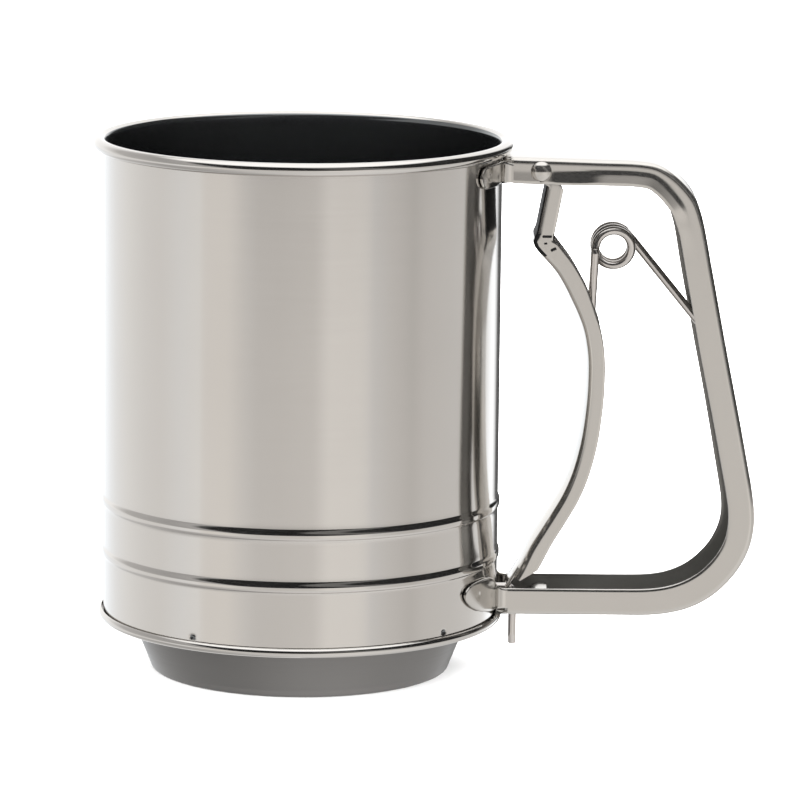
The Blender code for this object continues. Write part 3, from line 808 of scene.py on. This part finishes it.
def build_post(steel):
    """Post with a round flange under the hub and a rolled thread at its top."""
    post_r = 2.5
    low = screen_top(0.0) + 0.5
    thread_low = 24.6
    thread_high = 32.7
    pitch = 0.8
    depth = 0.36
    angles = full_turn(48)
    profile = [(4.2, low), (4.5, low + 0.25), (4.5, low + 0.8), (4.3, low + 1.0), (2.7, low + 1.0)]
    profile += [(post_r, low + 1.2), (post_r, thread_low)]
    loops = [level_ring(r, z, angles) for r, z in profile]
    for z in np.arange(thread_low + 0.1, thread_high - 0.15, 0.1):
        phase = (z / pitch - angles / (2 * math.pi)) % 1.0
        run = min(1.0, (z - thread_low) / 0.6, (thread_high - z) / 0.3)
        loops.append(level_ring(post_r - np.abs(phase * 2 - 1) * depth * run, z, angles))
    loops += [level_ring(r, z, angles) for r, z in ((2.35, 32.6), (1.9, 33.0))]
    post = solid("agitator_post", *rings(loops, closed=False))
    dress(post, steel, "drum", ["pivot_post"], 50.0)
    washer("thrust_washer_low", "washer_lower", low + 1.3, 12.7, steel)
    washer("thrust_washer_high", "washer_upper", 24.5, 25.1, steel)
    nut("nut_low", "axle_nut_lower", 25.4, 26.7, steel)
    nut("nut_high", "axle_nut_upper", 28.3, 31.5, steel)


# -------- agitator and rod


def build_agitator(steel):
    """Hub with a neck for the arm, four scrapers that follow the screen, and the slotted arm."""
    hub_r = 5.0
    bore = POST_BORE_R
    profile = [(bore, 13.2), (bore + 0.2, 13.0), (hub_r - 0.2, 13.0), (hub_r, 13.2)]
    profile += [(hub_r, 16.9), (4.85, 17.05), (4.85, 19.2), (hub_r, 19.35)]
    profile += [(hub_r, 24.0), (hub_r - 0.2, 24.2), (bore + 0.2, 24.2), (bore, 24.0)]
    hub = solid("agitator_sleeve", *lathe(profile, 72))
    dress(hub, steel, "agitator", ["agitator_hub"], 30.0)

    root_r = hub_r + 0.3
    tip_r = 43.0
    top = 16.8
    outline = [(r, screen_top(r) + 0.6) for r in np.linspace(root_r, tip_r, 24)]
    outline += arc((tip_r - 1.0, top - 1.0), 1.0, 0, 90, 6)
    outline += [(30.0, top), (18.0, top), (root_r + 0.3, top), (root_r, top - 0.3)]
    for i in range(4):
        points, faces = plate(outline, -BLADE_HALF, BLADE_HALF, 0.12, upright)
        angle = ARM_ANGLE + math.pi / 4 + math.pi / 2 * i
        blade = solid(f"scraper_{i + 1}", spin(points, angle), faces)
        node = f"agitator_blade_{i + 1}"
        dress(blade, steel, "agitator", [node], 30.0)

    outline = arc((0.0, 0.0), 7.6, 76, 284, 30)
    outline += arc((27.5, 0.0), 3.5, -84, 84, 16)
    points, faces = plate(outline, 17.6, 18.6, 0.15, flat)
    arm = solid("slotted_arm", spin(points, ARM_ANGLE), faces)
    cut(arm, prism(circle(root_r, 48), 16.0, 20.0, flat))
    far = math.hypot(*CRANK) + 1.4
    points, faces = prism(slot_outline(23.6, far, ROD_SLOT_HALF), 16.0, 20.0, flat)
    cut(arm, (spin(points, ARM_ANGLE), faces))
    dress(arm, steel, "agitator", ["crank_arm"], 30.0)


def build_rod(wire):
    """One wire: up through the trigger's foot, in through the drum, across and down as a crank pin."""
    pin_x = 54.0
    foot = (pin_x, 0.0, 5.8)
    elbow = (pin_x, 0.0, ROD_Z)
    turn = (24.0, 0.0, ROD_Z)
    head = (*CRANK, ROD_Z)
    tip = (*CRANK, 16.3)
    path = [foot, (pin_x, 0.0, 9.0), (pin_x, 0.0, 14.0)]
    path += corner(foot, elbow, turn, 1.6)
    path += [(46.0, 0.0, ROD_Z), (38.0, 0.0, ROD_Z)]
    path += corner(elbow, turn, head, 5.0)
    path += corner(turn, head, tip, 1.6)
    path += [(*CRANK, 18.0), tip]
    rod = tube(path, ROD_R, 20, 0.3)
    dress(solid("rod_wire", *rod), wire, "rod", ["connecting_rod"], 60.0)


# -------- handle


def ear(side, edges, flange_z, spots):
    """One ear: a strip that leaves the flange, turns at a round bend and hugs the drum.

    edges holds (y, low z, high z) out to the tip, flange_z its (low, high) on the flange, and spots
    the (y, z) of the spot welds, which are shallow round dents.
    """
    bend_y = FLANGE_Y + EAR_BEND_R
    bend_x = math.sqrt((EAR_R + EAR_BEND_R) ** 2 - bend_y**2)
    touch = math.atan2(bend_y, bend_x)
    edges = smooth_path(edges, 0.45)
    ys, lows, highs = edges.T
    stations = [(x, FLANGE_Y, 0.0, 1.0, *flange_z) for x in (57.5, 55.0, 53.4)]
    bend_steps = 10
    for i in range(bend_steps + 1):
        a = 1.5 * math.pi - (math.pi / 2 - touch) * i / bend_steps
        x = bend_x + EAR_BEND_R * math.cos(a)
        y = bend_y + EAR_BEND_R * math.sin(a)
        widen = min(1.0, 1.6 * i / bend_steps)
        low = flange_z[0] + (np.interp(y, ys, lows) - flange_z[0]) * widen
        high = flange_z[1] + (np.interp(y, ys, highs) - flange_z[1]) * widen
        stations.append((x, y, -math.cos(a), -math.sin(a), low, high))
    start = EAR_R * math.sin(touch)
    for y, low, high in edges:
        if y > start + 0.2:
            x = math.sqrt(EAR_R**2 - y**2)
            stations.append((x, y, x / EAR_R, y / EAR_R, low, high))
    sections = []
    for x, y, nx, ny, low, high in stations:
        pairs = []
        height = high - low
        edge = min(0.25, height / 4)
        levels = [(0.0, 0.35), (edge * 0.35, 0.78), (edge, 1.0)]
        levels += [(edge + (height - 2 * edge) * k / 14, 1.0) for k in range(1, 14)]
        levels += [(height - up, share) for up, share in reversed(levels[:3])]
        for up, share in levels:
            z = low + up
            sink = 0.0
            for spot_y, spot_z in spots:
                away = math.hypot(y - spot_y, z - spot_z)
                sink += 0.16 * math.exp(-((away / 0.85) ** 4))
            faces = (EAR_HALF * share - sink, -EAR_HALF * share)
            pairs.append([(x + nx * out, side * (y + ny * out), z) for out in faces])
        sections.append(pairs)
    return sheet(sections)


def ease(value, low, high):
    """0 below low, 1 above high, and a smooth step between."""
    t = min(1.0, max(0.0, (value - low) / (high - low)))
    return t * t * (3 - 2 * t)


def flange_wave(x, z, s):
    """How far the top bar's flange leans out at depth s: a flare by the rivet and a long crease."""
    flare = 0.15 * ease(x, 62.5, 63.5) * (1 - ease(x, 68.0, 75.0))
    lean = 0.033 * (1 - ease(x, 62.5, 63.5) + ease(x, 66.0, 73.0)) + 0.025 * ease(x, 84.0, 94.0)
    lean *= ease(z, 108.0, 117.0)
    crease = ease(x, 64.0, 72.0) * ease(z, 117.0, 123.0)
    line = 3.3 - 0.7 * ease(x, 66.0, 76.0) + 0.8 * ease(x, 88.0, 99.0)
    return (flare + lean) * max(0.0, s - 3.0) + 0.12 * crease * ease(s, line - 0.35, line + 0.35)


def build_handle(material, painted_shade):
    """The bent U-section, its four ears on the drum, the pivot's hole and the slot for the rod."""
    path = smooth_path(HANDLE_PATH, 1.3)
    # Between its two ends, the path keeps clear of the ends' own curve against the drum
    clear = path[:, 0] > 54.0
    clear[[0, -1]] = True
    path = path[clear]

    def section(i, point):
        x, z, far, near = point
        grip = ease(z, 30.0, 48.0) * (1 - ease(z, 112.0, 124.0))
        return u_section(9.5, SHEET, 1.3, far, near, 0.25 * grip, 0.35 * (1 - grip))

    sections = swept(path, -1.0, section)
    for i, (x, z, far, near) in enumerate(path):
        for k, (y, s, ny, ns, h) in enumerate(section(i, path[i])):
            if abs(ny) == 1.0 and z > 100:
                sections[i, k, :, 1] += math.copysign(flange_wave(x, z, s), y)
    for i in (0, -1):
        across = np.abs(sections[i, ..., 1])
        web_end = np.sqrt((DRUM_R + 0.4) ** 2 - np.minimum(across, 9.4) ** 2)
        sections[i, ..., 0] = np.where(across > 8.75, 52.6, web_end)
    handle = solid("handle_sheet", *sheet(sections))
    upper = [(FLANGE_Y, 125.4, 130.9), (12.0, 125.42, 131.15)]
    upper += [(16.0, 125.45, 131.2), (19.0, 125.45, 131.2)]
    tip_r = 2.9
    tip_y = 21.5
    tip_z = 128.33
    for a in np.radians(np.linspace(0, 82, 8)):
        rise = (tip_r - 0.03) * math.cos(a)
        upper.append((tip_y + tip_r * math.sin(a), tip_z - rise, tip_z + rise))
    upper.append((tip_y + tip_r, tip_z - 0.13, tip_z + 0.13))
    lower = [
        (FLANGE_Y, 16.95, 22.1), (10.5, 17.05, 23.2), (12.5, 17.25, 24.6),
        (14.5, 17.5, 25.7), (17.0, 17.8, 26.5), (20.0, 18.4, 26.9),
        (22.5, 19.0, 27.0), (25.0, 20.1, 26.9), (26.6, 21.0, 26.6),
        (27.8, 22.0, 26.1), (28.6, 23.0, 25.4), (28.95, 23.9, 24.6),
    ]
    for side in (1, -1):
        join(handle, ear(side, upper, (125.42, 130.3), [(15.0, 128.3), (20.5, 128.3)]))
        join(handle, ear(side, lower, (16.95, 22.02), [(16.0, 21.9), (23.5, 23.4)]))
    cut(handle, pivot_hole())
    cut(handle, prism(slot_outline(52.6, 76.7, 1.4), 14.0, 18.0, flat))
    dress(handle, material, "drum", ["handle_channel"], 40.0)

    def inside(centre, normal):
        x, y, z = centre
        if x < 53.5 or abs(y) > 9.3:
            return False
        # The web's inner face looks toward the middle of the loop
        toward = (x - 75.0) * normal.x + (z - 75.0) * normal.z
        return y * normal.y < -0.4 * abs(y) or abs(y) < 8.75 and toward < 0.0

    # Painted shade: the channel's inner faces take the dark colour of the shade inside it
    paint(handle, painted_shade, inside)


# -------- trigger


def build_trigger(material, painted_shade):
    """The bowed U-section with its foot, its two ears, its openings and the creases at its kink."""
    path = smooth_path(TRIGGER_PATH, 0.9)
    kink_z = 110.3

    def section(i, point):
        x, z, depth = point
        deeper = 0.7 * ease(z, 90.0, 98.0) * (1 - ease(z, 107.0, 110.5))
        neck = ease(z, 102.0, 110.0)
        corner_push = 0.65 * math.exp(-(((z - kink_z) / 1.4) ** 2))
        push = 0.75 * ease(z, 26.0, 34.0) + 0.15 * neck + corner_push
        return u_section(8.0, 0.8, 1.3, depth, depth + deeper, 0.75 - 0.65 * neck, push)

    sections = swept(path, 1.0, section)
    trigger = solid("trigger_sheet", *sheet(sections))
    foot = smooth_path(FOOT_PATH, 0.6)
    line = strip_line(6.0, 0.66, 4)
    join(trigger, sheet(swept(foot, 1.0, lambda i, p: line)))
    outline = smooth_path(TRIGGER_EAR, 0.6, closed=True)
    for low, high in ((7.23, 7.97), (-7.97, -7.23)):
        join(trigger, plate(outline, low, high, 0.1, upright))
    # The flanges end on a slant above the lower bar
    below = [(54.6, 23.1), (62.6, 28.0), (62.6, 16.0), (54.6, 16.0)]
    for low, high in ((-9.0, -6.6), (6.6, 9.0)):
        cut(trigger, prism(below, low, high, upright))
    cut(trigger, pivot_hole())
    # The rod runs in through the window and down through the eye
    window = [(50.5, 18.45), (53.8, 18.45), (53.8, 22.1), (50.5, 22.1)]
    cut(trigger, prism(window, -ROD_SLOT_HALF, ROD_SLOT_HALF, upright))
    cut(trigger, prism(slot_outline(52.5, 55.5, ROD_SLOT_HALF), 16.0, 18.2, flat))
    creases = (
        (60.0, 111.8, 62.5, 111.8, 0.42),
        (60.4, 110.0, 61.4, 110.1, 0.36),
        (62.2, 108.2, 63.6, 108.9, 0.48),
    )
    for x0, z0, x1, z1, radius in creases:
        cut(trigger, tube([(x0, -8.25, z0), (x1, -8.25, z1)], radius, 12, 0.2))
    dress(trigger, material, "trigger", ["trigger"], 40.0)

    def shaded(centre, normal):
        x, y, z = centre
        web = z > 111.5 and normal.x < -0.75 and abs(y) < 8.1
        return web or -7.95 < y < -7.25 and 107.0 < z < 112.6 and x < 64.5

    # Painted shade: the web's face toward the drum above the kink and the near flange by the creases go
    # near-black
    paint(trigger, painted_shade, shaded)


def build_rivet(material):
    """Pin with a domed head at each end and a small flat where it was struck."""
    face_y = 9.8
    head_r = 2.6
    pin_r = 1.25
    steps = 13
    half = [(0.25, face_y + 1.72), (0.8, face_y + 1.66)]
    for i in range(1, steps):
        a = math.pi / 2 * (1 - i / steps)
        r = head_r * math.cos(a) ** 0.9
        if r > 0.9:
            half.append((r, face_y + 0.2 + 1.5 * math.sin(a)))
    half += [(head_r, face_y + 0.2), (head_r - 0.1, face_y), (pin_r, face_y)]
    profile = [(r, -y) for r, y in half] + [(r, y) for r, y in reversed(half)]
    points, faces = turned(profile, 48)
    points = [(x + PIVOT[0], z, y + PIVOT[1]) for x, y, z in points]
    dress(solid("pivot_rivet", points, faces), material, "drum", ["trigger_rivet"], 45.0)


# -------- spring


def build_spring(wire):
    """Coil and two straight legs, each running from its own end to the coil."""
    x0, z0 = 78.0, 108.4
    radius = 4.55
    wire_r = 1.1
    half = 5.4
    start = math.radians(176.0)
    end = math.radians(-679.0)
    steps = 190
    coil = []
    for i in range(steps + 1):
        t = i / steps
        a = start + (end - start) * t
        coil.append((x0 + radius * math.cos(a), half * (2 * t - 1), z0 + radius * math.sin(a)))
    parts = [("spring_coil", coil, None)]
    legs = (
        ("spring_trigger_leg", (72.6, -half, 90.0), coil[0]),
        ("spring_handle_leg", (103.1, half, 85.0), coil[-1]),
    )
    for name, tip, root in legs:
        parts.append((name, [tuple(Vector(tip).lerp(Vector(root), k / 12)) for k in range(13)], tip))
    for name, path, tip in parts:
        obj = solid(name, *tube(path, wire_r, 20, 0.3 if tip else 0.0))
        coat(obj, wire, 60.0)
        # Each piece's held point and the span beyond it; nothing uses them
        held, joined = place((tip or (x0, 0.0, z0), path[-1]))
        if tip is None:
            low, high = held - (1.0, 0.0, 0.0), held + (1.0, 0.0, 0.0)
        else:
            low, high = held, 2 * joined - held
        if name == "spring_trigger_leg":
            low, high = high, low
        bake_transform(obj)
        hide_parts("torsion_spring")


# -------- studio


# Studio round the object, as (degrees from the front toward the right, level, warmth)
TABLE_LIGHT = (
    (-180, 1.0, 0.0), (-90, 0.5, 0.4), (-50, 0.65, 0.5), (-30, 0.8, 0.5), (40, 1.0, 0.5),
    (120, 0.8, 0.4), (180, 0.7, 0.0),
)
HORIZON_LIGHT = (
    (-180, 1.26, -1.0), (-150, 1.2, -0.9), (-135, 1.11, -0.3), (-120, 1.06, 0.2),
    (-100, 0.97, 0.4), (-88, 0.95, 0.5), (-72, 1.01, 0.1), (-60, 1.05, 0.4),
    (-56, 0.98, 1.0), (-42, 0.98, 1.1), (-30, 0.86, 0.7), (-24, 0.81, 0.8),
    (-12, 0.81, 0.9), (8, 0.86, 0.9), (17, 1.04, 0.9), (34, 1.02, 0.9),
    (39, 0.97, 0.8), (43, 0.86, 0.4), (54, 0.79, 0.8), (68, 0.71, 0.9),
    (78, 0.78, 0.8), (90, 0.8, 0.7), (100, 0.81, 0.6), (118, 0.88, 0.4),
    (135, 1.1, 0.0), (143, 1.45, -0.8), (150, 1.5, -0.6), (155, 0.9, -0.4),
    (159, 0.12, 0.0), (180, 0.1, 0.0),
)
ROOM_LIGHT = (
    (-180, 1.3, 0.0), (-145, 1.25, 0.0), (-118, 0.65, 0.4), (-75, 0.5, 0.4), (-53, 0.55, 0.4),
    (-45, 0.12, 0.0), (-38, 0.02, 0.0), (22, 0.01, 0.0), (29, 0.2, 0.4), (47, 0.2, 0.4),
    (54, 0.02, 0.0), (110, 0.02, 0.0), (148, 0.03, 0.0), (158, 1.3, 0.0), (180, 1.3, 0.0),
)
LIGHT_PEAK = 1.6


def build_world():
    """Studio by direction: table glow, a dark room in front, white walls behind and above."""
    world = bpy.data.worlds.new("studio")
    bpy.context.scene.world = world
    world.use_nodes = True
    tree = world.node_tree
    tree.nodes.clear()
    direction = add(tree, "ShaderNodeTexCoord").outputs["Generated"]
    x, y, z = add(tree, "ShaderNodeSeparateXYZ", {"Vector": direction}).outputs
    azimuth = math_node(tree, "ARCTAN2", x, math_node(tree, "MULTIPLY", y, -1.0))
    turn = math_node(tree, "MULTIPLY_ADD", azimuth, 0.5 / math.pi, 0.5)

    def around_ramp(bands, turn):
        """Colours round the object, over LIGHT_PEAK because a ramp stops at 1."""
        ramp = add(tree, "ShaderNodeValToRGB", {"Fac": turn})
        stops = ramp.color_ramp.elements
        stops.remove(stops[1])
        stops[0].position = 0.0
        for degrees, level, warmth in bands:
            stop = stops[0] if degrees == -180 else stops.new(degrees / 360 + 0.5)
            level /= LIGHT_PEAK
            stop.color = (level, level * (1 - 0.035 * warmth), level * (1 - 0.075 * warmth), 1.0)
        return ramp.outputs["Color"]

    def rise(low, high):
        """0 to 1 as the direction climbs between two values of its z."""
        ends = {"Value": z, "From Min": low, "From Max": high}
        return add(tree, "ShaderNodeMapRange", ends, interpolation_type="SMOOTHSTEP").outputs["Result"]

    # The room's edges lean: higher up they lie further to the left
    leaning = math_node(tree, "MULTIPLY_ADD", math_node(tree, "SUBTRACT", z, 0.17), 0.155, turn)
    table = around_ramp(TABLE_LIGHT, turn)
    horizon = around_ramp(HORIZON_LIGHT, turn)
    room = around_ramp(ROOM_LIGHT, leaning)
    low = mix(tree, rise(-0.5, -0.27), table, horizon)
    middle = mix(tree, rise(-0.13, -0.01), low, room)
    sky = mix(tree, rise(0.68, 0.84), middle, (1.0, 1.0, 1.0))

    paths = add(tree, "ShaderNodeLightPath")
    studio = add(tree, "ShaderNodeBackground", {"Color": sky, "Strength": LIGHT_PEAK})
    # What isn't mirrored only lights the pieces and the paper, and is plain white
    glow = add(tree, "ShaderNodeBackground", {"Color": (1.0, 1.0, 1.0, 1.0), "Strength": 5.0})
    glossy = paths.outputs["Is Glossy Ray"]
    final = add(tree, "ShaderNodeMixShader", {0: glossy, 1: glow.outputs[0], 2: studio.outputs[0]})
    output = add(tree, "ShaderNodeOutputWorld")
    tree.links.new(final.outputs[0], output.inputs["Surface"])


def build_stage():
    """White paper under the object, which the metal doesn't mirror."""
    mesh = bpy.data.meshes.new("floor")
    reach = 6.0
    corners = [(x * reach, y * reach, 0.0) for x, y in ((-1, -1), (1, -1), (1, 1), (-1, 1))]
    mesh.from_pydata(corners, [], [(0, 1, 2, 3)])
    floor = add_object("floor", mesh)
    material, shader = new_material("floor_paper")
    shader.inputs["Base Color"].default_value = (0.92, 0.92, 0.92, 1.0)
    shader.inputs["Roughness"].default_value = 0.9
    shader.inputs["Specular IOR Level"].default_value = 0.0
    mesh.materials.append(material)
    floor.visible_glossy = False


def build_camera():
    """The photo's viewpoint: a long lens, a little above the object and looking down on it."""
    data = bpy.data.cameras.new("camera")
    data.sensor_width = 36.0
    data.lens = 237.1
    data.clip_end = 50.0
    camera = add_object("camera", data)
    camera.matrix_world = (
        Matrix.Translation((-0.0062, -1.3106, 0.3067))
        @ Matrix.Rotation(math.radians(79.698), 4, "X")
        @ Matrix.Rotation(math.radians(0.599), 4, "Z")
    )
    bpy.context.scene.camera = camera


# -------- build


def main():
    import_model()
    bpy.context.scene.view_settings.view_transform = "Standard"

    finish = make_finishes()
    build_drum(finish["rolled_sheet"], finish["drum_painted_shade"], finish["formed_sheet"])
    build_collar(finish["satin_spun_sheet"], finish["skirt_painted_shade"], finish["formed_sheet"])
    steel = finish["machined_steel"]
    build_screen(finish["screen_wire"], steel)
    build_bar(steel)
    build_post(steel)
    build_agitator(steel)
    build_rod(finish["drawn_wire"])
    polished = finish["polished_sheet"]
    build_handle(polished, finish["channel_painted_shade"])
    build_trigger(polished, finish["trigger_painted_shade"])
    build_rivet(polished)
    build_spring(finish["drawn_wire"])

    build_world()
    build_stage()
    build_camera()


main()
